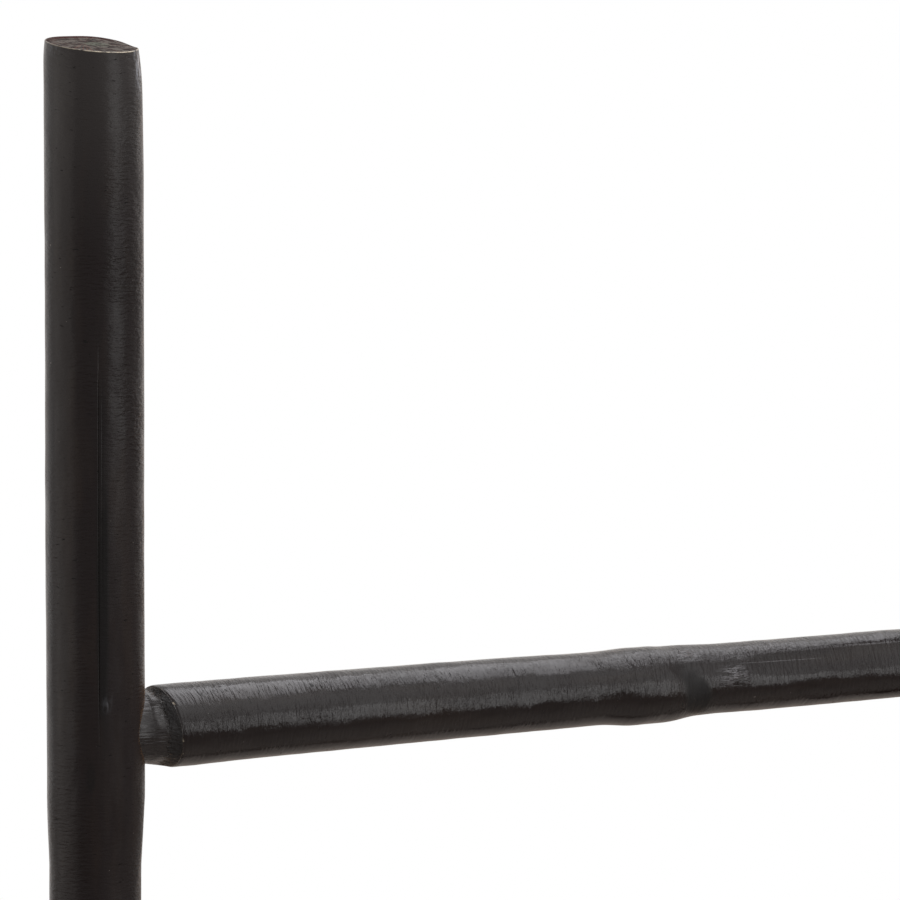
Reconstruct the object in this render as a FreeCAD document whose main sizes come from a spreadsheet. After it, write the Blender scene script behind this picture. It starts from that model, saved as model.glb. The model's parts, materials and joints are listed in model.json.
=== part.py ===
import FreeCAD, Part
import math
import os
import Sketcher

# Blanket ladder of seven round, hand-shaved poles. Two upright rails hold five rungs.
# Each rung ends in a carved shoulder, a short neck and a round tenon, which sits in a blind
# round mortise in the rail, and a wooden peg from the back locks it there.
# +X is across, +Y is to the back, +Z is up. The origin is on the floor midway between the rails.
# Lengths are in millimetres, and every girth is a diameter.

driving_sizes = {
    # rails
    "rail_height": 1700,      # floor to the top cut, on the rail's axis
    "rail_spacing": 458,      # between the rails' axes at the floor and at the top
    "rail_foot": 44,          # girth at the floor,
    "rail_waist": 40,         # where the pole is thinnest, below the top rung,
    "rail_head": 42.4,        # and from the top rung up
    "head_fall": 44,          # length over which it narrows from the top rung's joint to the waist
    "rail_bow": 3,            # how far a rail bows outwards at half its height
    "rail_knot_rise": 1.8,    # how far a knot swells out on its own side
    "rail_knot_reach": 26,    # how far that swelling runs along the pole to each side
    "joint_straight": 20,     # straight, even stretch of a rail above and below each rung's axis
    "cut_slant": 8.7,         # the saw cut on the top, out of square, in degrees
    "cut_bearing": 25,        # level line of that cut, in degrees from the rungs' direction
    "rim_wear": 1.1,          # worn edge round the sawn top
    "foot_bevel": 1.5,        # bevel round the foot
    # rungs
    "top_rung_drop": 300.8,   # from the top cut down to the top rung's axis
    "bottom_rung_rise": 250,  # from the floor up to the bottom rung's axis
    "rung_butt": 36.5,        # girth at the thick end
    "rung_tip": 31.2,         # and at the thin end
    "rung_bow": 2.4,          # how far a rung bows at half its length
    "rung_knot_rise": 1.6,
    "rung_knot_reach": 16,
    # joints
    "neck_length": 9.5,       # from the rail's face out to the carved shoulder, on the axis
    "shoulder_lean": 10,      # lean of the carved shoulder, in degrees
    "shoulder_step": 0.7,     # depth of the step from the pole's skin down to the shaved neck
    "butt_tenon": 31.75,      # tenon girth at the thick end,
    "tip_tenon": 25.4,        # and at the thin end
    "tenon_fit": 0.2,         # play between tenon and mortise, all round
    "tenon_end_gap": 1,       # room for glue at the bottom of the mortise
    "mortise_floor": 8,       # wood left behind the mortise
    # pegs
    "peg_girth": 6,           # across the corners of its eight sides
    "peg_fit": 0.12,          # play round the peg
    "peg_past_axis": 11,      # how far the peg goes on past the tenon's axis
    "peg_point": 4,           # length of its whittled point
    "peg_point_girth": 3.6,   # girth at the end of the point
    "peg_set": 0.3,           # how deep its head lies below the rail's back
}

rung_names = ["rung_top", "rung_upper", "rung_middle", "rung_lower", "rung_bottom"]
# Poles are laid thick end to thin end in turn: these have the thick end in the left rail.
butt_left = {"rung_top", "rung_middle", "rung_bottom"}
# Each rung has a knot: the share of its shouldered length from the thick end, and the side that
# the knot faces, in degrees round the pole from the rung's own +Y towards +Z.
rung_knots = {
    "rung_top": (0.60, 240),
    "rung_upper": (0.33, 200),
    "rung_middle": (0.47, 310),
    "rung_lower": (0.69, 150),
    "rung_bottom": (0.55, 215),
}
# Each shoulder leans another way: the side where the first one lies farthest from its rail, in
# degrees as above, and the turn from each shoulder to the next.
first_lean_side = 217
lean_turn = 137
# The share of the full bow that each rung has, and which way it goes, in degrees round its axis.
rung_bend = {
    "rung_top": (0.2, 30),
    "rung_upper": (1.0, 205),
    "rung_middle": (0.8, 110),
    "rung_lower": (1.0, 320),
    "rung_bottom": (0.7, 160),
}
# Each rail has a knot too: the bay between rungs that the knot is in, counted up from the floor, the
# share of that bay, and the side it faces, in degrees from the rail's own +X towards +Y.
rail_knots = {"rail_left": (3, 0.55, 130), "rail_right": (2, 0.45, 60)}

doc = FreeCAD.newDocument("blanket_ladder")
sheet = doc.addObject("Spreadsheet::Sheet", "Sizes")
for row, (size_name, size) in enumerate(driving_sizes.items(), start=1):
    sheet.set(f"A{row}", size_name)
    sheet.set(f"B{row}", str(size))
    sheet.setAlias(f"B{row}", size_name)
doc.recompute()


# Expressions that several pieces share.

joint_foot = "(Sizes.rail_height - Sizes.top_rung_drop - Sizes.joint_straight)"
waist_height = f"({joint_foot} - Sizes.head_fall)"
rung_span = "(Sizes.rail_height - Sizes.top_rung_drop - Sizes.bottom_rung_rise)"
mortise_past_axis = "(Sizes.rail_waist / 2 - Sizes.mortise_floor)"


def rung_height(index):
    return f"(Sizes.bottom_rung_rise + {rung_span} * {1 - index / (len(rung_names) - 1)})"


def rail_drift(height):
    # how far the rail's middle line has bowed outwards at a height
    return f"(Sizes.rail_bow * sin(180 * {height} / Sizes.rail_height))"


def rail_girth(height):
    # below the waist the rail thickens evenly down to the floor
    return f"(Sizes.rail_foot + (Sizes.rail_waist - Sizes.rail_foot) * {height} / {waist_height})"


def girth_at_rung(index):
    # the top rung meets the rail's head, the others meet it below the waist
    return "Sizes.rail_head" if index == 0 else rail_girth(rung_height(index))


def shoulder_to_rail(index):
    # from a rung's shoulder to the middle line of the rail that it enters
    return f"({girth_at_rung(index)} / 2 + Sizes.neck_length)"


def shouldered_length(index):
    drift = rail_drift(rung_height(index))
    return f"(Sizes.rail_spacing + 2 * {drift} - 2 * {shoulder_to_rail(index)})"


def tenon_in(index, side):
    # the left and the right end of a rung differ by which way round the pole lies
    thick_end_here = (rung_names[index] in butt_left) == (side == "left")
    return "Sizes.butt_tenon" if thick_end_here else "Sizes.tip_tenon"


# Steps that several pieces share.

def new_body(name):
    body = doc.addObject("PartDesign::Body", name)
    body.Label = name
    return body


def own_plane(body, role):
    return next(item for item in body.Origin.OriginFeatures if item.Role == role)


def new_sketch(body, name, role, offset="0", tilt=None):
    # a sketch on one of the body's own planes, moved along that plane's normal and perhaps tilted
    sketch = body.newObject("Sketcher::SketchObject", name)
    sketch.AttachmentSupport = (own_plane(body, role), [""])
    sketch.MapMode = "FlatFace"
    if tilt:
        bearing, angle = tilt
        level_line = FreeCAD.Vector(math.cos(math.radians(bearing)), math.sin(math.radians(bearing)), 0)
        sketch.AttachmentOffset = FreeCAD.Placement(FreeCAD.Vector(0, 0, 0), FreeCAD.Rotation(level_line, 1))
        sketch.setExpression("AttachmentOffset.Rotation.Angle", angle)
    sketch.setExpression("AttachmentOffset.Base.z", offset)
    return sketch


def bind_constraint(sketch, constraint, name, expression):
    number = sketch.addConstraint(constraint)
    sketch.renameConstraint(number, name)
    sketch.setExpression(f"Constraints.{name}", expression)


def bind_point(sketch, geometry, point, name, place):
    for kind, role, distance in zip(("DistanceX", "DistanceY"), ("across", "along"), place):
        from_origin = Sketcher.Constraint(kind, -1, 1, geometry, point, 0)
        bind_constraint(sketch, from_origin, f"{name}_{role}", distance)


def add_circle(sketch, girth, centre=("0", "0"), name="ring"):
    start = Part.Circle(FreeCAD.Vector(0, 0, 0), FreeCAD.Vector(0, 0, 1), 10)
    circle = sketch.addGeometry(start)
    bind_constraint(sketch, Sketcher.Constraint("Diameter", circle, 20), f"{name}_girth", girth)
    bind_point(sketch, circle, 3, name, centre)


def over_knot(middle, reach, side):
    # the places where a knot's swelling starts, is highest and ends, with its height from 0 to 1
    return [(f"({middle} + {step} * {reach})", 1 - abs(step), side) for step in (-1, 0, 1)]


def swell(girth, centre, height, side, rise):
    # a knot adds its rise to the girth and draws the middle half as far to its own side
    across, along = centre
    shift = f"{height / 2} * {rise}"
    middle = (f"{across} + {shift} * cos({side})", f"{along} + {shift} * sin({side})")
    return f"{girth} + {height} * {rise}", middle


def loft_pole(body, name, role, stations):
    # each station is a place along the pole, a girth and a centre, and perhaps a tilt
    sections = []
    for number, (place, girth, centre, *tilt) in enumerate(stations):
        section = new_sketch(body, f"{name}_station_{number}", role, place, *tilt)
        add_circle(section, girth, centre)
        sections.append(section)
    pole = body.newObject("PartDesign::AdditiveLoft", name)
    pole.Profile = sections[0]
    pole.Sections = sections[1:]
    pole.Ruled = True
    doc.recompute()


def cut_through(body, sketch, name, along_normal):
    # a pocket from the sketch outwards; it has to take wood away
    volume_before = body.Shape.Volume
    pocket = body.newObject("PartDesign::Pocket", name)
    pocket.Profile = sketch
    pocket.Type = "ThroughAll"
    pocket.Reversed = along_normal
    doc.recompute()
    if body.Shape.Volume >= volume_before:
        raise RuntimeError(f"{name} cuts nothing")


def drill_peg_holes(body, centres, back):
    # from the back to the peg's point; back is +1 or -1, along the body's own Y
    name = f"{body.Label}_peg_holes"
    holes = new_sketch(body, f"{name}_circles", "XZ_Plane", f"{back} * Sizes.peg_past_axis")
    for number, centre in enumerate(centres):
        add_circle(holes, "Sizes.peg_girth + 2 * Sizes.peg_fit", centre, f"hole_{number}")
    cut_through(body, holes, name, along_normal=back < 0)


def bevel_rim(body, name, height_rank, size):
    # bevels the rim of the lowest (0) or highest (-1) flat face
    feature = body.Tip
    flats = [face for face in feature.Shape.Faces if face.Surface.TypeId == "Part::GeomPlane"]
    rim = sorted(flats, key=lambda face: face.CenterOfMass.z)[height_rank].OuterWire
    names = [
        f"Edge{number}"
        for number, edge in enumerate(feature.Shape.Edges, start=1)
        if any(edge.isSame(other) for other in rim.Edges)
    ]
    bevel = body.newObject("PartDesign::Chamfer", name)
    bevel.Base = (feature, names)
    bevel.setExpression("Size", size)
    doc.recompute()


# The rails. A rail's own +X points inwards, to the rungs, so the right one is turned half round.

def rail_middle(height):
    return (f"-{rail_drift(height)}", "0")


def rail_stations(name):
    # Up from the floor: a bay lies below each joint, one of them has the knot, and joints are straight.
    # The head runs on past its height and is left for the saw.
    stations = [("0", rail_girth("0"), rail_middle("0"))]
    knot_bay, share, side = rail_knots[name]
    below = "0"
    for bay, index in enumerate(reversed(range(len(rung_names)))):
        joint = rung_height(index)
        joint_ends = (f"({joint} - Sizes.joint_straight)", f"({joint} + Sizes.joint_straight)")
        if bay == knot_bay:
            knot = f"({below} + {share} * ({joint_ends[0]} - {below}))"
            for height, rise, facing in over_knot(knot, "Sizes.rail_knot_reach", side):
                shape = swell(rail_girth(height), rail_middle(height), rise, facing, "Sizes.rail_knot_rise")
                stations.append((height, *shape))
        if index == 0:
            stations.append((waist_height, "Sizes.rail_waist", rail_middle(waist_height)))
        stations += [(height, girth_at_rung(index), rail_middle(joint)) for height in joint_ends]
        below = joint_ends[1]
    for height in ("(Sizes.rail_height - Sizes.rail_head)", "(Sizes.rail_height + Sizes.rail_head)"):
        stations.append((height, "Sizes.rail_head", ("0", "0")))
    return stations


def saw_top(body, turned):
    # the pole runs on above its height and is sawn off there, a little out of square
    bearing = sheet.get("cut_bearing") if turned > 0 else 180 - sheet.get("cut_bearing")
    tilt = (bearing, "Sizes.cut_slant")
    cut = new_sketch(body, f"{body.Label}_saw_line", "XY_Plane", "Sizes.rail_height", tilt)
    add_circle(cut, "3 * Sizes.rail_head")
    cut_through(body, cut, f"{body.Label}_top_cut", along_normal=True)


def make_rail(name, side):
    turned = 1 if side == "left" else -1
    body = new_body(name)
    loft_pole(body, f"{name}_pole", "XY_Plane", rail_stations(name))
    saw_top(body, turned)
    bevel_rim(body, f"{name}_worn_rim", -1, "Sizes.rim_wear")
    bevel_rim(body, f"{name}_foot_bevel", 0, "Sizes.foot_bevel")
    for index, rung in enumerate(rung_names):
        height = rung_height(index)
        floor = f"-{rail_drift(height)} - {mortise_past_axis}"
        mouth = new_sketch(body, f"{name}_mortise_of_{rung}", "YZ_Plane", floor)
        add_circle(mouth, f"{tenon_in(index, side)} + 2 * Sizes.tenon_fit", ("0", height))
        cut_through(body, mouth, f"{name}_mortise_{index}", along_normal=True)
    heights = [rung_height(index) for index in range(len(rung_names))]
    drill_peg_holes(body, [(f"-{rail_drift(height)}", height) for height in heights], back=turned)
    turn = FreeCAD.Rotation(FreeCAD.Vector(0, 0, 1), 0 if side == "left" else 180)
    body.Placement = FreeCAD.Placement(FreeCAD.Vector(0, 0, 0), turn)
    body.setExpression("Placement.Base.x", f"{-turned} * Sizes.rail_spacing / 2")
    return body


# The rungs. A rung's own +X runs from the thick end's shoulder to the thin end's.

def shoulder_tilt(index, end):
    # the sketch's x runs along the rung's own +Y; the tilt's level line is square to the far side
    far_side = first_lean_side + lean_turn * (2 * index + (end == "tip"))
    return (far_side - 90, "Sizes.shoulder_lean")


def rung_stations(index):
    name = rung_names[index]
    length = shouldered_length(index)
    # the knot, the two ends, and one plain place on the knot's longer side
    knot, side = rung_knots[name]
    plain_share, plain_before = (0.33, 2) if knot > 0.5 else (0.67, 1)
    places = [(f"({share} * {length})", 0, 0) for share in (0, plain_share, 1)]
    places[plain_before:plain_before] = over_knot(f"{knot} * {length}", "Sizes.rung_knot_reach", side)
    bend, bearing = rung_bend[name]
    stations = []
    for place, rise, facing in places:
        girth = f"Sizes.rung_butt + (Sizes.rung_tip - Sizes.rung_butt) * {place} / {length}"
        bow = f"{bend} * Sizes.rung_bow * sin(180 * {place} / {length})"
        middle = (f"{bow} * cos({bearing})", f"{bow} * sin({bearing})")
        stations.append((place, *swell(girth, middle, rise, facing, "Sizes.rung_knot_rise")))
    stations[0] += (shoulder_tilt(index, "butt"),)
    stations[-1] += (shoulder_tilt(index, "tip"),)
    return stations


def add_tenon(body, index, end, shoulder, outwards):
    # the neck, shaved down from the leaning shoulder to the rail's face, and the tenon beyond it
    axis = ("0", "0")
    tilt = shoulder_tilt(index, end)
    root_girth = f"Sizes.rung_{end} - 2 * Sizes.shoulder_step"
    tenon_girth = f"Sizes.{end}_tenon"
    tenon_end = f"{shoulder_to_rail(index)} + {mortise_past_axis} - Sizes.tenon_end_gap"
    inside, face, tip = (
        f"{shoulder} + {outwards} * ({distance})"
        for distance in ("-Sizes.neck_length", "Sizes.neck_length", tenon_end)
    )
    stations = [(inside, root_girth, axis, tilt), (shoulder, root_girth, axis, tilt)]
    stations += [(face, tenon_girth, axis), (tip, tenon_girth, axis)]
    loft_pole(body, f"{body.Label}_{end}_tenon", "YZ_Plane", stations)


def make_rung(index):
    name = rung_names[index]
    length = shouldered_length(index)
    left_first = name in butt_left
    back = 1 if left_first else -1
    body = new_body(name)
    loft_pole(body, f"{name}_pole", "YZ_Plane", rung_stations(index))
    add_tenon(body, index, "butt", "0", -1)
    add_tenon(body, index, "tip", length, 1)
    peg_places = (f"-{shoulder_to_rail(index)}", f"{length} + {shoulder_to_rail(index)}")
    drill_peg_holes(body, [(place, "0") for place in peg_places], back)
    turn = FreeCAD.Rotation(FreeCAD.Vector(0, 0, 1), 0 if left_first else 180)
    body.Placement = FreeCAD.Placement(FreeCAD.Vector(0, 0, 0), turn)
    body.setExpression("Placement.Base.x", f"{-back} * {length} / 2")
    body.setExpression("Placement.Base.z", rung_height(index))
    return body


# The pegs: eight-sided, driven in from the rail's back through the tenon, with a whittled point.

def make_peg(index, side):
    outwards = -1 if side == "left" else 1
    head = f"({girth_at_rung(index)} / 2 - Sizes.peg_set)"
    rings = []
    for role, girth, place in (
        ("head", "Sizes.peg_girth", head),
        ("shoulder", "Sizes.peg_girth", "Sizes.peg_point - Sizes.peg_past_axis"),
        ("end", "Sizes.peg_point_girth", "-Sizes.peg_past_axis"),
    ):
        ring = doc.addObject("Part::RegularPolygon", f"peg_{index}_{side}_{role}")
        ring.Polygon = 8
        ring.setExpression("Circumradius", f"{girth} / 2")
        forwards = FreeCAD.Rotation(FreeCAD.Vector(1, 0, 0), 90)
        ring.Placement = FreeCAD.Placement(FreeCAD.Vector(0, 0, 0), forwards)
        drift = rail_drift(rung_height(index))
        ring.setExpression("Placement.Base.x", f"{outwards} * (Sizes.rail_spacing / 2 + {drift})")
        ring.setExpression("Placement.Base.y", place)
        ring.setExpression("Placement.Base.z", rung_height(index))
        rings.append(ring)
    peg = doc.addObject("Part::Loft", f"peg_{index}_{side}")
    peg.Sections = rings
    peg.Solid = True
    peg.Ruled = True
    return peg


def make_pegs():
    pegs = doc.addObject("Part::Compound", "tenon_pegs")
    pegs.Label = "tenon_pegs"
    pegs.Links = [make_peg(index, side) for index in range(len(rung_names)) for side in ("left", "right")]
    return pegs


pieces = [make_rail("rail_left", "left"), make_rail("rail_right", "right")]
pieces += [make_rung(index) for index in range(len(rung_names))]
pieces.append(make_pegs())
doc.recompute()

failed = [item.Name for item in doc.Objects if {"Invalid", "Error"} & set(item.State)]
failed += [piece.Label for piece in pieces if piece.Shape.isNull() or not piece.Shape.isValid()]
if failed:
    raise RuntimeError(f"failed: {failed}")

os.makedirs("parts", exist_ok=True)
for piece in pieces:
    piece.Shape.exportStep(f"parts/{piece.Label}.step")
    print(f"{piece.Label}: {len(piece.Shape.Solids)} solids, {piece.Shape.Volume / 1000:.1f} cm3")
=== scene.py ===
import json
import math

import bpy
import numpy as np
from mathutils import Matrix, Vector


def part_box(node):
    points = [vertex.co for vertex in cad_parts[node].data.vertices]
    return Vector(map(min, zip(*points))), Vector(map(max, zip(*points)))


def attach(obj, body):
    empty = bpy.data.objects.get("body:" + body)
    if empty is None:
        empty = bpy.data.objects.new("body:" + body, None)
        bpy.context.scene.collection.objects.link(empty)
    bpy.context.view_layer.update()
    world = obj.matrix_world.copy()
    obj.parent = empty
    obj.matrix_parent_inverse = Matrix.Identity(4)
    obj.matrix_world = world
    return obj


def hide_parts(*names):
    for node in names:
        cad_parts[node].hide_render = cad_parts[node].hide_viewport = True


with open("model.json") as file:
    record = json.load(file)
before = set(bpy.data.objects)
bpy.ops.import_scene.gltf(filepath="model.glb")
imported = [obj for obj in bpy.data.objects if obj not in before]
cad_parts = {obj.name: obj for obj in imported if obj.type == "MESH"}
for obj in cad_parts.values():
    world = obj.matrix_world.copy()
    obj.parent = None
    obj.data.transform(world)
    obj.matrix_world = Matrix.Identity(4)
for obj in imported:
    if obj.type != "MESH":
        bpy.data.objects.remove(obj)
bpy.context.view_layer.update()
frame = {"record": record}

# Sizes are in metres, sides in degrees, and how far a thing reaches round a pole in radians. Round a
# rail, sides go from its own +X, which points to the rungs, towards its own +Y. Round a rung they go
# from its own +Y towards +Z, and its own +X runs from the thick end to the thin end. The right rail
# and every second rung are turned half round.
fullTurn = 2 * math.pi
mounts = {mount["name"]: mount["pos_m"] for mount in frame["record"]["mounts"]}
railSpacing = mounts["foot_right"][0] - mounts["foot_left"][0]
pegLow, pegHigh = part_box("tenon_pegs")


def unevenness(along, angle, seed, shortest, longest, turns):
    # smooth waves that close round the pole, from about -1 to 1
    draw = np.random.default_rng(seed)
    waveCount = 9
    seldomPassed = 1.6
    total = 0
    for _ in range(waveCount):
        length = draw.uniform(shortest, longest)
        lobes = draw.integers(0, turns + 1) * draw.choice((-1, 1))
        start = draw.uniform(0, fullTurn)
        total = total + np.sin(fullTurn * along / length + lobes * angle + start)
    return total / math.sqrt(waveCount) / seldomPassed


def waves(along, angle, seed, look):
    # a look is the waves' size, their shortest and longest, and the most lobes round the pole
    size, shortest, longest, turns = look
    return size * unevenness(along, angle, seed, shortest, longest, turns)


def hill(distance, reach):
    # a round hill of height 1 that ends at its reach on both sides
    near = np.clip(np.abs(distance) / reach, 0, 1)
    return (1 + np.cos(math.pi * near)) / 2


def turnFrom(angle, facing):
    # how far round the pole an angle lies from a side, from minus to plus half a turn
    return (angle - math.radians(facing) + math.pi) % fullTurn - math.pi


def spot(place, angle, side, at, wide, long, strength=1):
    # a soft spot on a pole: its side and place, its reach round the pole and along it, its strength
    return strength * hill(place - at, long) * hill(turnFrom(angle, side), wide)


def roundAngles(count, fineSides=()):
    # even steps round the pole, with closer ones where a fine line runs along it
    closeSteps = (-0.03, -0.012, -0.005, 0, 0.005, 0.012, 0.03)
    even = np.arange(count) * fullTurn / count
    fine = [math.radians(side) + step for side in fineSides for step in closeSteps]
    return np.unique(np.concatenate([even, np.array(fine) % fullTurn]).round(6))[None, :]


def placesAlong(*stretches):
    # places along a pole: each stretch is its start, end and spacing
    places = []
    for start, end, spacing in stretches:
        count = max(2, round((end - start) / spacing) + 1)
        places += np.linspace(start, end, count)[1 if places else 0:].tolist()
    return places


def closedTube(name, rings, marks=None):
    # rings of points from one end to the other, closed on their middles, with marks for the materials
    count, around, _ = rings.shape
    points = np.concatenate([rings.reshape(-1, 3), rings[:1].mean(1), rings[-1:].mean(1)])
    ring = np.arange(count - 1)[:, None] * around
    first = np.arange(around)
    after = (first + 1) % around
    sides = np.stack([ring + first, ring + after, ring + around + after, ring + around + first], -1)
    startFan = np.stack([np.full(around, count * around), after, first], -1)
    last = (count - 1) * around
    endFan = np.stack([last + first, last + after, np.full(around, count * around + 1)], -1)
    faces = [corners.tolist() for corners in (sides.reshape(-1, 4), startFan, endFan)]
    mesh = bpy.data.meshes.new(name)
    mesh.from_pydata(points.tolist(), [], sum(faces, []))
    mesh.shade_smooth()
    for mark, values in (marks or {}).items():
        width = values.shape[2:]
        values = np.broadcast_to(values, (count, around) + width).reshape((-1,) + width)
        values = np.concatenate([values, values[:1], values[-1:]])
        stored = mesh.attributes.new(mark, "FLOAT_VECTOR" if width else "FLOAT", "POINT")
        stored.data.foreach_set("vector" if width else "value", values.ravel())
    piece = bpy.data.objects.new(name, mesh)
    bpy.context.scene.collection.objects.link(piece)
    return piece


def carve(piece, cutters):
    smoothUpTo = math.radians(50)
    for cutter in cutters:
        cut = piece.modifiers.new("cut", "BOOLEAN")
        cut.operation = "DIFFERENCE"
        cut.solver = "MANIFOLD"
        cut.object = cutter
        bpy.context.view_layer.update()
        carved = piece.evaluated_get(bpy.context.evaluated_depsgraph_get())
        mesh = bpy.data.meshes.new_from_object(carved)
        piece.modifiers.clear()
        piece.data = mesh
        bpy.data.objects.remove(cutter)
    piece.data.set_sharp_from_angle(angle=smoothUpTo)


def standIn(piece, node):
    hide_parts(node)
    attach(piece, "root")


# Rails

railSizes = {
    "height": 1.7,
    "headGirth": 0.0424,
    "waistGirth": 0.040,
    "footGirth": 0.044,
    "slimming": 0.0002,
    "jointStraight": 0.020,
    "headStraight": 0.030,
    "headFall": 0.030,
    "topSwell": (0.06, 0.35, 0.0006),  # how far above the top rung, its reach and its rise
    "headSwell": (0.05, 0.07, 0.0005),  # how far below the saw cut, its reach and its rise
    "longWaves": (0.00016, 0.18, 0.7, 3),
    "shortWaves": (0.00006, 0.02, 0.06, 6),
    "bow": 0.003,
    "crooks": ((-0.082, 0.072, 0.0006), (0.165, 0.10, -0.00025)),
    "knotRise": 0.0018,
    "knotReach": 0.026,
    "checkFade": 0.03,
    "checkWidth": 0.011,
    "cutSlant": 7.6,
    "cutBearing": 23.5,
    "cutReach": 0.06,  # how far below the saw cut the rows of points begin to lean
    "cutRise": 0.00035,
    "cutWaves": ((8, 0.55, -0.0007), (66, 0.7, 0.0004)),
    "sawMarks": (0.00006, 0.002, 0.008, 5),
    "sawnRadius": 0.02,
    "rimWear": 0.0004,
    "footWear": 0.0013,
    "footBare": 0.6,
    "wornSide": 282,
    "wornBroad": (0.3, 2.2, 0.5),  # its share, how far round it goes, and over what it fades
    "wornMost": (0.7, 1.6),
    "backRim": (1.7, 0.76, 0.06),  # how far round it goes, its share of the radius, and its fade
    "dressing": (0.0006, 0.0014),
    "dressingReach": (0.010, 0.022),
    "dressedSide": 325,
    "rubbedStart": 0.03,
    "rubbedReach": 0.13,
    "rubbedSide": 282,
    "rubbedRound": 1.0,
    "fadedReach": 0.10,
    "hairShares": (0.3, 0.7),  # all round, and more on the hairy side
    "hairRound": 1.3,
    "hairRubbedOff": 0.65,
    "around": 108,
    "ringStep": 0.005,
    "topStep": 0.001,
    "footRows": (0.04, 0.98, 16),  # from and to which share of the radius, and how many
    "cutRows": (0.985, 0.03, 34),
    "rimRows": 7,
}

# A knot is the number of the rung below it, counted from 0 at the top, its share of the way up to the
# next rung, and the side that it faces. A check is a fine crack along the pole: its side, where it
# starts and ends, and its depth. A scuff is its side and height, its reach round the pole and along
# it, and its strength; scuffs are pale worn spots, and some are painted highlights. A patch of
# painted shade is the same without the last.
railPoles = {
    "rail_left": {
        "foot": "foot_left",
        "inwards": 1,
        "knot": (2, 0.55, 130),
        "checks": [(253.6, 1.39, 1.577, 0.0003), (257.6, 1.45, 1.56, 0.00012), (81, 0.52, 0.79, 0.0003)],
        # scuffs are pale worn spots; the first is a painted highlight on the dressed side below the saw cut
        "scuffsAndHighlights": [
            (321, 1.692, 0.28, 0.016, 1), (190, 1.699, 0.4, 0.006, 0.15), (262, 1.415, 0.13, 0.004, 0.2)],
        # painted shade beside the top joint and down the rail's middle
        "shadePatches": [(243, 1.383, 0.15, 0.011), (258, 1.47, 0.2, 0.12)],
        "hairySide": 318,
        "seed": 11,
    },
    "rail_right": {
        "foot": "foot_right",
        "inwards": -1,
        "knot": (3, 0.45, 60),
        "checks": [(98, 1.12, 1.37, 0.0003), (301, 0.16, 0.39, 0.0003)],
        # pale worn spots, and a painted highlight on the head
        "scuffsAndHighlights": [(40, 1.695, 0.3, 0.011, 0.6), (120, 0.93, 0.2, 0.012, 0.3)],
        # painted shade on the rail's side
        "shadePatches": [(85, 1.22, 0.3, 0.05)],
        "hairySide": 250,
        "seed": 23,
    },
}

rungNames = ("rung_top", "rung_upper", "rung_middle", "rung_lower", "rung_bottom")


def rungHeight(index):
    # the pegs' middles lie as high as the rungs, which are evenly spaced
    share = index / (len(rungNames) - 1)
    top, bottom = (pegHigh.z - pegSizes["girth"] / 2, pegLow.z + pegSizes["girth"] / 2)
    return top + (bottom - top) * share


def railDrift(height):
    # how far the rail's middle line has bowed outwards, with slight crooks, each so high
    # above the top rung, so far up and down, and so far outwards
    bow = railSizes["bow"] * np.sin(math.pi * np.clip(height / railSizes["height"], 0, 1))
    for place, reach, shift in railSizes["crooks"]:
        bow = bow + shift * hill(height - rungHeight(0) - place, reach)
    return bow


def railGirth(height):
    fallEnd = rungHeight(0) - railSizes["headStraight"]
    waist = fallEnd - railSizes["headFall"]
    girths = [railSizes[part] for part in ("footGirth", "waistGirth", "headGirth")]
    return np.interp(height, (0, waist, fallEnd), girths)


def railRadius(height, angle, look):
    seed = look["seed"]
    past, reach, rise = railSizes["topSwell"]
    radius = railGirth(height) / 2 - railSizes["slimming"]
    radius = radius + rise * hill(height - rungHeight(0) - past, reach)
    radius = radius + waves(height, angle, seed, railSizes["longWaves"])
    radius = radius + waves(height, angle, seed + 1, railSizes["shortWaves"])
    below, share, facing = look["knot"]
    straight = railSizes["jointStraight"]
    bayStart = rungHeight(below) + straight
    bayEnd = rungHeight(below - 1) - straight
    knot = bayStart + share * (bayEnd - bayStart)
    spread = (1 + np.cos(turnFrom(angle, facing))) / 2
    radius = radius + railSizes["knotRise"] * spread * hill(height - knot, railSizes["knotReach"])
    # towards the saw cut the pole is dressed thinner, most of all on one side
    most = (1 + np.cos(turnFrom(angle, railSizes["dressedSide"]))) / 2
    under, reach, rise = railSizes["headSwell"]
    radius = radius + rise * most * hill(height - railSizes["height"] + under, reach)
    (least, greatest), (shortest, longest) = railSizes["dressing"], railSizes["dressingReach"]
    reach = shortest + (longest - shortest) * most
    close = 1 - np.clip((railSizes["height"] - height) / reach, 0, 1)
    radius = radius - (least + (greatest - least) * most) * close ** 2
    for side, start, end, depth in look["checks"]:
        along = np.clip(np.minimum(height - start, end - height) / railSizes["checkFade"], 0, 1)
        radius = radius - depth * along * hill(turnFrom(angle, side), railSizes["checkWidth"])
    return radius


def railRows():
    # each row of points: its height, how far in it lies, its share of the radius, sawn wood, wear
    top, rim, foot = railSizes["height"], railSizes["rimWear"], railSizes["footWear"]
    leanStart = top - railSizes["cutReach"]
    quarter = np.linspace(0, math.pi / 2, railSizes["rimRows"])
    rows = [(0, foot, share, 1, 0) for share in np.linspace(*railSizes["footRows"])]
    for turn in quarter:
        rows.append((foot - foot * math.cos(turn), foot - foot * math.sin(turn), 1, 0, railSizes["footBare"]))
    sides = placesAlong((foot, leanStart, railSizes["ringStep"]), (leanStart, top - rim, railSizes["topStep"]))
    rows += [(place, 0, 1, 0, 0) for place in sides[1:-1]]
    for turn in quarter:
        rows.append((top - rim + rim * math.sin(turn), rim - rim * math.cos(turn), 1, 0, math.sin(2 * turn)))
    rows += [(top, rim, share, 1, 0) for share in np.linspace(*railSizes["cutRows"])]
    return np.array(rows).T[:, :, None]


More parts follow.
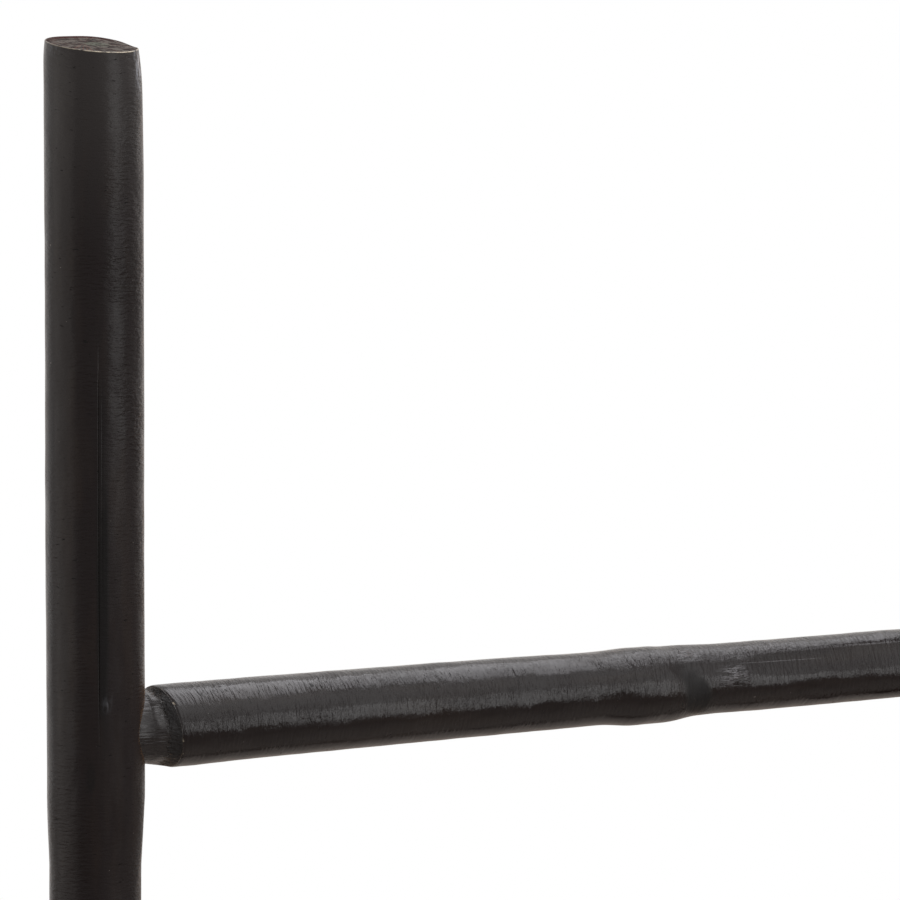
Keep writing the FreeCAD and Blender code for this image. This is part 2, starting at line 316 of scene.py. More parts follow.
def railMarks(look, angle, place, share, sawn, worn):
    # where the rail is worn bare, faded, rubbed dull or hairy, where it is scuffed pale or has a painted
    # highlight, and where painted shade darkens it
    height = railSizes["height"]
    wornTurn = turnFrom(angle, railSizes["wornSide"])
    broad, broadRound, broadFade = railSizes["wornBroad"]
    most, mostRound = railSizes["wornMost"]
    wornShare = broad * np.clip((broadRound - np.abs(wornTurn)) / broadFade, 0, 1)
    wornShare = wornShare + most * hill(wornTurn, mostRound)
    backRound, rimStart, rimFade = railSizes["backRim"]
    backRim = hill(turnFrom(angle, railSizes["wornSide"] - 180), backRound)
    backRim = backRim * np.clip((share - rimStart) / rimFade, 0, 1)
    # the rubbed places lie beside each joint, on the front of both rails
    rubbedSide = railSizes["rubbedSide"] + (0 if look["inwards"] > 0 else 180)
    joints = [rungHeight(index) for index in range(len(rungNames))]
    apart = [np.clip(np.abs(place - joint) - railSizes["rubbedStart"], 0, 1) for joint in joints]
    rubbed = sum(hill(distance, railSizes["rubbedReach"]) for distance in apart)
    rubbed = rubbed * hill(turnFrom(angle, rubbedSide), railSizes["rubbedRound"])
    allRound, more = railSizes["hairShares"]
    hairy = allRound + more * hill(turnFrom(angle, look["hairySide"]), railSizes["hairRound"])
    return {
        "rubbed": rubbed,
        "faded": hill(height - place, railSizes["fadedReach"]) + 0 * angle,
        "sawn": sawn,
        "backRim": backRim * (place > height / 2),
        "hairy": hairy * (1 - railSizes["hairRubbedOff"] * rubbed),
        "worn": worn * wornShare,
        # pale worn spots and painted highlights
        "scuffedAndHighlit": sum(spot(place, angle, *scuffAndHighlight) for scuffAndHighlight in look["scuffsAndHighlights"]),
        # painted shade in dark patches on the rail
        "scarsAndPaintedShade": sum(spot(place, angle, *stain) for stain in look["shadePatches"]),
    }


def makeRail(name, look):
    height = railSizes["height"]
    inwards = look["inwards"]
    angle = roundAngles(railSizes["around"], [check[0] for check in look["checks"]])
    place, inset, share, sawn, worn = railRows()
    radius = (railRadius(place, angle, look) - inset) * share
    # the rows lean more and more towards the top, until the last ones lie in the saw cut
    cutReach = railSizes["cutReach"]
    leaning = np.clip((place - height + cutReach) / cutReach, 0, 1)
    bearing = math.radians(railSizes["cutBearing"])
    slope = math.tan(math.radians(railSizes["cutSlant"])) * leaning
    ownX = radius * np.cos(angle)
    ownY = radius * np.sin(angle)
    # the saw leaves the ends a little rough: the top dips below its cut, and the foot stays above 0
    sawMarks = waves(share * railSizes["sawnRadius"], angle, look["seed"] + 3, railSizes["sawMarks"])
    rough = np.abs(sawMarks) * sawn
    rough = np.where(place > height / 2, -rough, rough)
    z = place + slope * (inwards * math.cos(bearing) * ownY - math.sin(bearing) * ownX) + rough
    # the cut isn't quite flat: each wave has its side, how far round it goes, and its height
    z = z + railSizes["cutRise"] * leaning
    for side, reach, rise in railSizes["cutWaves"]:
        z = z + rise * leaning * share ** 2 * hill(turnFrom(angle, side), reach)
    railX = mounts[look["foot"]][0]
    x = railX + inwards * (ownX - railDrift(place))
    rings = np.stack([x, inwards * ownY, z], -1)
    # each pole takes its grain from a stretch of its own
    grainPlace = np.stack([place + look["seed"] / 10 + 0 * ownX, ownX, ownY], -1)
    rail = closedTube(
        f"pole_{name}", rings, {"polePlace": grainPlace, **railMarks(look, angle, place, share, sawn, worn)})
    cutters = []
    for index, rung in enumerate(rungPoles.values()):
        thickEnd = rung["buttLeft"] == (inwards > 0)
        girth = rungSizes["buttTenon" if thickEnd else "tipTenon"]
        jointHeight = rungHeight(index)
        centre = railX - inwards * railDrift(jointHeight)
        cutters.append(mortiseCutter(centre, jointHeight, girth / 2 + rungSizes["tenonFit"], inwards))
        cutters.append(pegCutter(centre, jointHeight))
    carve(rail, cutters)
    standIn(rail, name)
    return rail


def mortiseCutter(x, z, radius, inwards):
    angle = roundAngles(rungSizes["mortiseAround"])
    reach = np.array([-rungSizes["pastAxis"] - rungSizes["glueRoom"], rungSizes["mortiseMouth"]])[:, None]
    across = inwards * radius * np.cos(angle)
    rings = [x + inwards * reach + 0 * angle, across + 0 * reach, z + radius * np.sin(angle) + 0 * reach]
    return closedTube("cutter", np.stack(rings, -1))


def pegCutter(x, z):
    radius = pegSizes["girth"] / 2 + pegSizes["fit"]
    angle = roundAngles(pegSizes["holeAround"])
    reach = np.array([-pegSizes["pastAxis"], pegSizes["holeMouth"]])[:, None]
    rings = [x + radius * np.sin(angle) + 0 * reach, reach + 0 * angle, z + radius * np.cos(angle) + 0 * reach]
    return closedTube("cutter", np.stack(rings, -1))


# Rungs

# Past the knot means from its middle towards the thin end. A side of the knot's is counted from the
# side that the knot faces.
rungSizes = {
    "buttGirth": 0.0365,
    "tipGirth": 0.0312,
    "longWaves": (0.0002, 0.12, 0.4, 3),
    "shortWaves": (0.00009, 0.012, 0.05, 6),
    "neck": 0.0095,
    "neckEdges": (177, 128, 79, 33, 347, 302, 259, 218),
    "neckFlatness": 0.7,
    "neckFlatMiddle": 0.45,
    "neckWaves": (0.00012, 1, 2, 12),
    "neckWaveMiddle": 0.5,
    "lean": 12.5,
    "leanFade": 0.03,
    "firstLeanSide": 217,
    "leanTurn": 137,
    "ringWear": 0.0003,
    "ringReach": 0.0016,
    "crown": 0.0005,
    "crownStart": 0.05,
    "crownGaps": ((-0.03, 0.05, 1), (0.055, 0.075, 0.9)),  # how far past the knot, reach, strength
    "buttFlare": 0.0005,
    "flareReach": 0.06,
    "buttTenon": 0.03175,
    "tipTenon": 0.0254,
    "tenonFit": 0.0002,
    "glueRoom": 0.001,
    "pastAxis": 0.011,
    "mortiseMouth": 0.03,
    "mortiseAround": 96,
    "bow": 0.0024,
    "knotRise": 0.0017,
    "knotBackShare": 0.25,
    "knotRun": 0.022,
    "knotFall": (0.008, 0.0180),
    "knotFlat": 0.007,
    "knotFlatBefore": 0.6,
    "knotHollow": (0.036, 0.020, 0.0003),  # how far past the knot, its reach and its depth
    "flatSide": -88,
    "flatHalf": 22,
    "flatRound": 1.2,
    "flatSoft": 0.00016,
    "flatStart": (0.045, 0.03),  # how far past the knot, and over what it grows
    "flatEnd": 0.05,
    "scar": (-0.003, 0.0115, -0.8, 1.3),  # how far past its line, reach, side in radians, reach round
    "scarWaves": (0.0015, 1, 2, 7),
    "scarDepth": 0.0007,
    "bark": (0.039, 0.0115, -1.26, 0.40),  # the same, but past the knot
    "barkRise": 0.0006,
    "fold": (0.017, 0.009, -2.04, 0.35),
    "foldShare": 0.6,
    "creaseSide": -93,
    "crease": (0.066, 0.034, 0.012),  # how far past the knot, reach, reach round
    "creaseRise": 0.00006,
    "smoothSides": ((245, 1.0, 0.8), (148, 0.32, 0.5)),  # a side, its reach, how few hairs it has
    "smoothSpot": (125, 0, 0.9, 0.04, 0.5),
    "hairEnd": 0.001,
    "nicks": (124, 0.03, 0.5, 0.035),
    "neckStart": 0.0003,
    # the band beside each shoulder gets deeper cuts and painted shade
    "shoulderCutsAndShade": (0.0066, 0.0042),  # where it ends on the neck, and over what it fades
    "ringEdge": (1.5, 0.0002, 0.0004),
    "around": 108,
    "ringStep": 0.0025,
    "closeSteps": (0.004, 0.0007, 0.0003, 0.001),  # on a tenon, a neck, a shoulder and the knot
    "shoulderRows": (0.0006, 0.0018),
    "knotRows": (0.03, 0.06),
}

# A knot is at a share of the rung's length and faces a side; a bend is a share of the full bow and
# the side that it goes to.
rungPoles = {
    "rung_top": {"buttLeft": True, "knot": (0.60, 240), "bend": (0.2, 30), "seed": 31},
    "rung_upper": {"buttLeft": False, "knot": (0.33, 200), "bend": (1.0, 205), "seed": 47},
    "rung_middle": {"buttLeft": True, "knot": (0.47, 310), "bend": (0.8, 110), "seed": 53},
    "rung_lower": {"buttLeft": False, "knot": (0.69, 150), "bend": (1.0, 320), "seed": 67},
    "rung_bottom": {"buttLeft": True, "knot": (0.55, 215), "bend": (0.7, 160), "seed": 79},
}


def neckShare(angle, number):
    # the neck is whittled in flat cuts that meet at edges, each neck turned on from the one before;
    # this is the share of the round neck's radius that they leave
    edges = np.radians(np.sort(np.array(rungSizes["neckEdges"]) % 360))
    around = (angle - np.radians(rungSizes["leanTurn"]) * number) % fullTurn
    after = np.searchsorted(edges, around, side="right")
    upper = edges[after % len(edges)] + fullTurn * (after == len(edges))
    lower = edges[after - 1] - fullTurn * (after == 0)
    half = (upper - lower) / 2
    flat = np.cos(half) / np.cos(around - (upper + lower) / 2)
    return 1 + (flat - 1) * rungSizes["neckFlatness"]


def rungPlaces(length, knot, tenonEnd):
    # the rows of points are closer at the shoulders and over the knot
    neck = rungSizes["neck"]
    outside, inside = rungSizes["shoulderRows"]
    before, after = rungSizes["knotRows"]
    tenonStep, neckStep, shoulderStep, knotStep = rungSizes["closeSteps"]
    step = rungSizes["ringStep"]
    places = placesAlong(
        (-tenonEnd, -neck, tenonStep), (-neck, -outside, neckStep), (-outside, inside, shoulderStep),
        (inside, knot - before, step), (knot - before, knot + after, knotStep),
        (knot + after, length - inside, step), (length - inside, length + outside, shoulderStep),
        (length + outside, length + neck, neckStep), (length + neck, length + tenonEnd, tenonStep))
    return np.array(places)[:, None]


def rungRadius(x, angle, length, look):
    # the pole's radius without its necks, and the marks that its knot leaves
    seed = look["seed"]
    share = np.clip(x / length, 0, 1)
    knotShare, facing = look["knot"]
    beyond = x - knotShare * length
    pole = (rungSizes["buttGirth"] + (rungSizes["tipGirth"] - rungSizes["buttGirth"]) * share) / 2
    pole = pole + rungSizes["buttFlare"] * hill(x, rungSizes["flareReach"]) * (1 - np.sin(angle)) / 2
    pole = pole + waves(x, angle, seed, rungSizes["longWaves"])
    pole = pole + waves(x, angle, seed + 1, rungSizes["shortWaves"])
    gaps = [strength * hill(beyond - past, reach) for past, reach, strength in rungSizes["crownGaps"]]
    crown = rungSizes["crown"] * np.clip(np.sin(angle), 0, 1) ** 2
    pole = pole + crown * np.clip(x / rungSizes["crownStart"], 0, 1) * (1 - np.maximum(*gaps))
    # the knot swells slowly, falls off quickly along a slanted line and leaves a hollow
    turn = turnFrom(angle, facing)
    spread = (1 + np.cos(turn)) / 2
    least, more = rungSizes["knotFall"]
    fall = least + more * spread
    flat = rungSizes["knotFlat"]
    before = hill(np.minimum(beyond + rungSizes["knotFlatBefore"] * flat, 0), rungSizes["knotRun"])
    after = hill(np.maximum(beyond - flat * spread, 0), fall - flat * spread)
    backShare = rungSizes["knotBackShare"]
    rise = rungSizes["knotRise"] * (backShare + (1 - backShare) * spread)
    pole = pole + rise * np.minimum(before, after)
    # past the knot the pole is flatter on one side
    flatRound = rungSizes["flatRound"]
    flatTurn = np.clip(turnFrom(angle, facing + rungSizes["flatSide"]), -flatRound, flatRound)
    flatLine = pole * math.cos(math.radians(rungSizes["flatHalf"])) / np.cos(flatTurn)
    soft = rungSizes["flatSoft"]
    flatted = -soft * np.logaddexp(-pole / soft, -flatLine / soft)
    start, grow = rungSizes["flatStart"]
    begun = np.clip((beyond - start) / grow, 0, 1)
    left = np.clip((length - x) / rungSizes["flatEnd"], 0, 1)
    pole = pole + (flatted - pole) * begun * left
    past, reach, depth = rungSizes["knotHollow"]
    pole = pole - depth * hill(beyond - past, reach)
    # along the slanted line runs a closed scar, and past it lies a patch of wrinkled bark
    past, reach, side, wide = rungSizes["scar"]
    scarWaves = waves(0 * x, angle, seed + 4, rungSizes["scarWaves"])
    scar = hill(beyond - fall - past + scarWaves, reach) * hill(turn - side, wide)
    bark, fold = (
        hill(beyond - past, reach) * hill(turn - side, wide)
        for past, reach, side, wide in (rungSizes["bark"], rungSizes["fold"]))
    past, reach, wide = rungSizes["crease"]
    crease = hill(turn - math.radians(rungSizes["creaseSide"]), wide) * hill(beyond - past, reach)
    pole = pole - rungSizes["scarDepth"] * scar + rungSizes["barkRise"] * bark
    pole = pole + rungSizes["creaseRise"] * crease
    wrinkled = np.maximum(bark, rungSizes["foldShare"] * fold)
    # the scar's mark is also darkened with painted shade where the knot falls away
    return pole, {"scarsAndPaintedShade": scar, "wrinkled": wrinkled, "creased": crease}


def withNecks(pole, x, angle, length, index, seed):
    # the worn ring at each shoulder, the neck shaved down to the tenon, and the tenon
    out = np.maximum(-x, x - length)
    thick = x < length / 2
    pole = pole - rungSizes["ringWear"] * np.clip(1 + out / rungSizes["ringReach"], 0, 1) ** 2
    tenon = np.where(thick, rungSizes["buttTenon"], rungSizes["tipTenon"]) / 2
    root = np.where(thick, pole[np.argmin(np.abs(x))], pole[np.argmin(np.abs(x - length))])
    shaved = np.clip(out / rungSizes["neck"], 0, 1)
    waveMiddle, flatMiddle = rungSizes["neckWaveMiddle"], rungSizes["neckFlatMiddle"]
    neckWaves = waves(0 * x, angle, seed + 2, rungSizes["neckWaves"]) * hill(shaved - waveMiddle, waveMiddle)
    necked = root + (tenon - root) * shaved + neckWaves
    flatNeck = neckShare(angle, 2 * index + (x > length / 2))
    necked = necked * (1 - (1 - flatNeck) * hill(shaved - flatMiddle, flatMiddle))
    return np.where(out < 0, pole, necked)


def shoulderLean(radius, x, angle, length, index):
    # each shoulder leans, and the rows beside it lean less and less
    rise = math.tan(math.radians(rungSizes["lean"]))
    leaning = 0
    for number, (shoulder, outwards) in enumerate(((0, -1), (length, 1))):
        farSide = rungSizes["firstLeanSide"] + rungSizes["leanTurn"] * (2 * index + number)
        away = (x - shoulder) * outwards
        onNeck = 1 - np.clip(away / rungSizes["neck"], 0, 1)
        onPole = 1 - np.clip(-away / rungSizes["leanFade"], 0, 1)
        fade = np.where(away > 0, onNeck, onPole)
        leaning = leaning - outwards * rise * np.cos(turnFrom(angle, farSide)) * radius * fade
    return leaning


def rungMarks(x, angle, length):
    # where hairs and nicks lie, where each neck and its band of deeper cuts and painted shade start, and the
    # rings' edges
    out = np.maximum(-x, x - length)
    hairy = 1
    for side, reach, fewer in rungSizes["smoothSides"]:
        hairy = hairy * (1 - fewer * hill(turnFrom(angle, side), reach))
    hairy = hairy * (1 - spot(x, angle, *rungSizes["smoothSpot"]))
    neck = np.clip(out / rungSizes["neckStart"], 0, 1)
    bandEnd, bandFade = rungSizes["shoulderCutsAndShade"]
    crisp, inside, wide = rungSizes["ringEdge"]
    return {
        "hairy": hairy * np.clip(1 - out / rungSizes["hairEnd"], 0, 1),
        "nicked": spot(x, angle, *rungSizes["nicks"]),
        "neck": neck + 0 * angle,
        "shoulderCutsAndShade": neck * np.clip((bandEnd - out) / bandFade, 0, 1) + 0 * angle,
        "ringEdge": np.clip(crisp - np.abs(out + inside) / wide, 0, 1) + 0 * angle,
    }


def makeRung(index, name, look):
    seed = look["seed"]
    axisHeight = rungHeight(index)
    drift = float(railDrift(axisHeight))
    shoulderToRail = float(railGirth(axisHeight)) / 2 + rungSizes["neck"]
    length = railSpacing + 2 * drift - 2 * shoulderToRail
    tenonEnd = shoulderToRail + rungSizes["pastAxis"]
    knotShare, facing = look["knot"]
    angle = roundAngles(rungSizes["around"], [facing + rungSizes["creaseSide"]])
    x = rungPlaces(length, knotShare * length, tenonEnd)
    pole, knotMarks = rungRadius(x, angle, length, look)
    radius = withNecks(pole, x, angle, length, index, seed)
    leaning = shoulderLean(radius, x, angle, length, index)
    bend, bearing = look["bend"]
    bow = bend * rungSizes["bow"] * np.sin(math.pi * np.clip(x / length, 0, 1))
    ownY = radius * np.cos(angle)
    ownZ = radius * np.sin(angle)
    turned = 1 if look["buttLeft"] else -1
    rings = np.stack([
        turned * (x + leaning - length / 2),
        turned * (ownY + bow * math.cos(math.radians(bearing))),
        axisHeight + ownZ + bow * math.sin(math.radians(bearing))], -1)
    grainPlace = np.stack([x + seed / 10 + 0 * ownY, ownY, ownZ], -1)
    rung = closedTube(
        f"pole_{name}", rings, {"polePlace": grainPlace, **rungMarks(x, angle, length), **knotMarks})
    carve(rung, [pegCutter(side * (railSpacing / 2 + drift), axisHeight) for side in (-1, 1)])
    standIn(rung, name)
    return rung


# Pegs

pegSizes = {
    "girth": 0.006,
    "sides": 8,
    "fit": 0.00012,
    "pastAxis": 0.011,
    "point": 0.004,
    "pointGirth": 0.0036,
    "set": 0.0003,
    # the rows of the head: how far below its top, their share of the radius, and sawn wood
    "headRows": ((0.0004, 1, 0), (0.0001, 0.97, 0), (0, 0.9, 1), (0, 0.5, 1), (0, 0.1, 1)),
    "smoothUpTo": 30,
    "around": 40,
    "holeAround": 48,
    "holeMouth": 0.03,
}


def makePegs():
    pieces = []
    angle = roundAngles(pegSizes["around"])
    # the outline's radius by angle, where its corners have 1
    side = fullTurn / pegSizes["sides"]
    flat = (angle + side / 2) % side - side / 2
    outline = math.cos(side / 2) / np.cos(flat)
    half = pegSizes["girth"] / 2
    tip = -pegSizes["pastAxis"]
    for index in range(len(rungNames)):
        axisHeight = rungHeight(index)
        head = float(railGirth(axisHeight)) / 2 - pegSizes["set"]
        rows = [(tip, pegSizes["pointGirth"] / 2, 0), (tip + pegSizes["point"], half, 0)]
        rows += [(head - under, half * share, sawn) for under, share, sawn in pegSizes["headRows"]]
        reach, radii, sawn = np.array(rows).T[:, :, None]
        across = radii * outline * np.sin(angle)
        up = radii * outline * np.cos(angle)
        for outwards in (-1, 1):
            x = outwards * (railSpacing / 2 + float(railDrift(axisHeight)))
            grainPlace = np.stack([reach + index + outwards / 4 + 0 * up, across, up], -1)
            rings = np.stack([x + across, reach + 0 * angle, axisHeight + up], -1)
            pieces.append(closedTube("peg", rings, {"polePlace": grainPlace, "sawn": sawn}))
    with bpy.context.temp_override(active_object=pieces[0], selected_editable_objects=pieces):
        bpy.ops.object.join()
    joined = pieces[0]
    joined.name = "pegs_in_tenons"
    joined.data.set_sharp_from_angle(angle=math.radians(pegSizes["smoothUpTo"]))
    standIn(joined, "tenon_pegs")
    return joined


rails = {name: makeRail(name, look) for name, look in railPoles.items()}
print("rails made")
rungs = {name: makeRung(index, name, rungPoles[name]) for index, name in enumerate(rungNames)}
print("rungs made")
pegs = makePegs()
print("pegs made")


# Stained wood

# Colours are how much light comes back, red, green and blue. A grain is how many fibres or marks lie
# in a metre along and across the pole, and how many finer layers it has. Relief is in millimetres.
stainLooks = {
    "rail": {
        "gloss": 0.14, "roughness": (0.25, 0.38), "hairs": (850, 230, 3), "hairRelief": 0.8,
        "nicks": 0.73, "sheen": 0.16},
    "rung": {
        "gloss": 0.25, "roughness": (0.15, 0.26), "hairs": (700, 140, 3), "hairRelief": 0.7,
        "nicks": 0.72, "sheen": 0.16},
    "peg": {
        "gloss": 0.25, "roughness": (0.30, 0.45), "hairs": (300, 900, 3), "hairRelief": 0.01,
        "nicks": 0.75, "sheen": 0.1},
    "end": {
        "gloss": 0.03, "roughness": (0.7, 0.8), "hairs": (300, 900, 3), "hairRelief": 0.0,
        "nicks": 0.75, "sheen": 0.0},
}
stainColours = {
    "stain": (0.0062, 0.0034, 0.0032),
    "thinStain": (0.0100, 0.0060, 0.0048),
    # dark nicks, and the painted shade of the shoulder bands, the knot's scar and the rails' dark patches
    "pitAndPaintedShade": (0.0018, 0.0011, 0.0010),
    "neckStain": (0.014, 0.011, 0.0105),
    "fadedStain": (0.026, 0.0225, 0.0215),
    "bareWood": (0.58, 0.50, 0.38),
    # pale scuffed wood, and painted highlights on the rails' heads
    "scuffAndHighlight": (0.25, 0.255, 0.28),
    "paleSpeck": (0.16, 0.145, 0.13),
    "paleBark": (0.20, 0.19, 0.20),
    "endGrain": (0.108, 0.096, 0.084),
    "endDark": (0.020, 0.015, 0.014),
    "endRed": (0.150, 0.065, 0.045),
    "endGreen": (0.105, 0.112, 0.088),
    "backRim": (0.030, 0.005, 0.004),
    "sheen": (0.9, 0.5, 0.25),
}
grains = {
    "patches": (28, 60, 2),
    "beads": (520, 420, 2),
    "nicks": (1000, 230, 1),
    "specks": (700, 500, 1),
    "swell": (85, 60, 2),
    "rasp": (60, 900, 2),
    "bandEdge": (520, 620, 3),
    "hatch": (600, 700, 2),
    "wrinkles": (130, 560, 2),
    "worn": (500, 260, 2),
    "thin": (16, 110, 3),
    "scuffsAndHighlights": (230, 700, 3),
    "shine": (55, 220, 2),
    "ringWobble": (1, 180, 2),
    "rays": (1, 17, 3),
    "mottle": (1, 230, 4),
    "spots": (1, 340, 1),
}
# where a noise or a mark starts to show, and where it shows in full
limits = {
    "patches": (0.38, 0.62),
    "specks": (0.80, 0.84),
    "cutsAndShade": (1.15, 1.5),
    "bareRim": (0.30, 0.55),
    "bareRing": (0.62, 0.70),
    "scarsAndPaintedShade": (0, 0.65),
    "scarPatches": (-0.8, 0.6),
    "scuffsAndHighlights": (0.42, 0.62),
    "thin": (0.46, 0.72),
    "shine": (0.3, 0.7),
    "sawn": (0.4, 0.6),
    "mottle": (0.40, 0.58),
    "rays": (0.52, 0.66),
    "growthRings": (0.5, 1),
    "greenReach": (0.008, 0.003),
    "greenMottle": (0.36, 0.5),
    "spots": (0.62, 0.68),
}
# how much each mark changes the colour
tinting = {
    "neck": 0.8,
    "faded": 0.85,
    "cutsAndShade": 0.8,
    "specks": 0.8,
    "wrinkles": 0.5,
    "bareRing": 0.35,
    "rays": 0.5,
    "green": 0.8,
    "growthRings": 0.4,
}
# how rough each mark makes the stain; nicks and rubbed places add theirs to it
dulling = {"nicks": 0.35, "rubbed": 0.34, "sawn": 0.75, "scarsAndPaintedShade": 0.65, "cutsAndShade": 0.6, "bare": 0.6}
reliefs = {
    "swell": 0.16,
    "beadShare": 0.25,  # of the hairs' relief
    "nicks": -0.05,
    "rasp": 0.5,
    "hatch": 0.7,
    "wrinkles": 0.4,
    "creased": 0.05,
    "mottle": 0.25,
}
noiseRoughness = 0.55
sheenRoughness = 0.3
nickEdge = 0.04
moreNicks = 0.10
hairPatchShares = (0.5, 0.6)  # in a patch, and everywhere
bandBreaks = 1.5
wrinkleWidth = 0.12
# The pith and the green patch are places on the end; the rings are radians in a metre, and they wobble.
endSizes = {"pith": (0, -0.003, 0.0022), "greenPatch": (0, 0.002, 0), "rings": 3600, "ringWobble": 2.6}


def newNode(tree, kind, inputs, **settings):
    # an input is a plain value or another node's output
    node = tree.nodes.new(f"ShaderNode{kind}")
    for setting, value in settings.items():
        setattr(node, setting, value)
    for socket, value in inputs.items():
        if isinstance(value, bpy.types.NodeSocket):
            tree.links.new(value, node.inputs[socket])
        else:
            node.inputs[socket].default_value = value
    return node


def calculate(tree, operation, *values):
    return newNode(tree, "Math", dict(enumerate(values)), operation=operation).outputs[0]


def times(tree, first, second):
    return calculate(tree, "MULTIPLY", first, second)


def larger(tree, first, second):
    return calculate(tree, "MAXIMUM", first, second)


def onPlaces(tree, operation, place, *others):
    values = dict(enumerate((place, *others)))
    return newNode(tree, "VectorMath", values, operation=operation).outputs


def grainNoise(tree, place, grain):
    along, across, layers = grain
    stretched = onPlaces(tree, "MULTIPLY", place, (along, across, across))[0]
    inputs = {"Vector": stretched, "Scale": 1, "Detail": layers, "Roughness": noiseRoughness}
    return newNode(tree, "TexNoise", inputs).outputs[0]


def above(tree, value, low, high):
    # from 0 at low to 1 at high
    inputs = {"Value": value, "From Min": low, "From Max": high}
    return newNode(tree, "MapRange", inputs, interpolation_type="SMOOTHSTEP").outputs[0]


def thinLines(tree, value, width):
    # 1 along the lines where a noise passes its middle
    aside = calculate(tree, "ABSOLUTE", calculate(tree, "SUBTRACT", value, 0.5))
    return above(tree, aside, width, 0)


def mixColours(tree, share, first, second):
    colours = [(*colour, 1) if isinstance(colour, tuple) else colour for colour in (first, second)]
    inputs = {0: share, 6: colours[0], 7: colours[1]}
    return newNode(tree, "Mix", inputs, data_type="RGBA").outputs[2]


def mark(tree, name):
    return newNode(tree, "Attribute", {}, attribute_name=name).outputs["Fac"]


def sawnEnds(tree, place):
    # growth rings round a pith that lies off the middle, rays, streaks and a green patch
    flatPlace = onPlaces(tree, "MULTIPLY", place, (0, 1, 1))[0]
    fromPith = onPlaces(tree, "SUBTRACT", flatPlace, endSizes["pith"])[0]
    distance = onPlaces(tree, "LENGTH", fromPith)["Value"]
    outwards = onPlaces(tree, "NORMALIZE", fromPith)[0]
    wobble = times(tree, grainNoise(tree, flatPlace, grains["ringWobble"]), endSizes["ringWobble"])
    growth = calculate(tree, "SINE", calculate(tree, "ADD", times(tree, distance, endSizes["rings"]), wobble))
    mottle = grainNoise(tree, flatPlace, grains["mottle"])
    pale = above(tree, mottle, *limits["mottle"])
    colour = mixColours(tree, pale, stainColours["endDark"], stainColours["endGrain"])
    rays = above(tree, grainNoise(tree, outwards, grains["rays"]), *limits["rays"])
    colour = mixColours(tree, times(tree, rays, tinting["rays"]), colour, stainColours["endRed"])
    fromGreen = onPlaces(tree, "DISTANCE", flatPlace, endSizes["greenPatch"])["Value"]
    green = above(tree, fromGreen, *limits["greenReach"])
    green = times(tree, green, above(tree, mottle, *limits["greenMottle"]))
    colour = mixColours(tree, times(tree, green, tinting["green"]), colour, stainColours["endGreen"])
    spots = above(tree, grainNoise(tree, flatPlace, grains["spots"]), *limits["spots"])
    rings = times(tree, above(tree, growth, *limits["growthRings"]), tinting["growthRings"])
    colour = mixColours(tree, larger(tree, rings, spots), colour, stainColours["endDark"])
    colour = mixColours(tree, mark(tree, "backRim"), colour, stainColours["backRim"])
    return colour, mottle


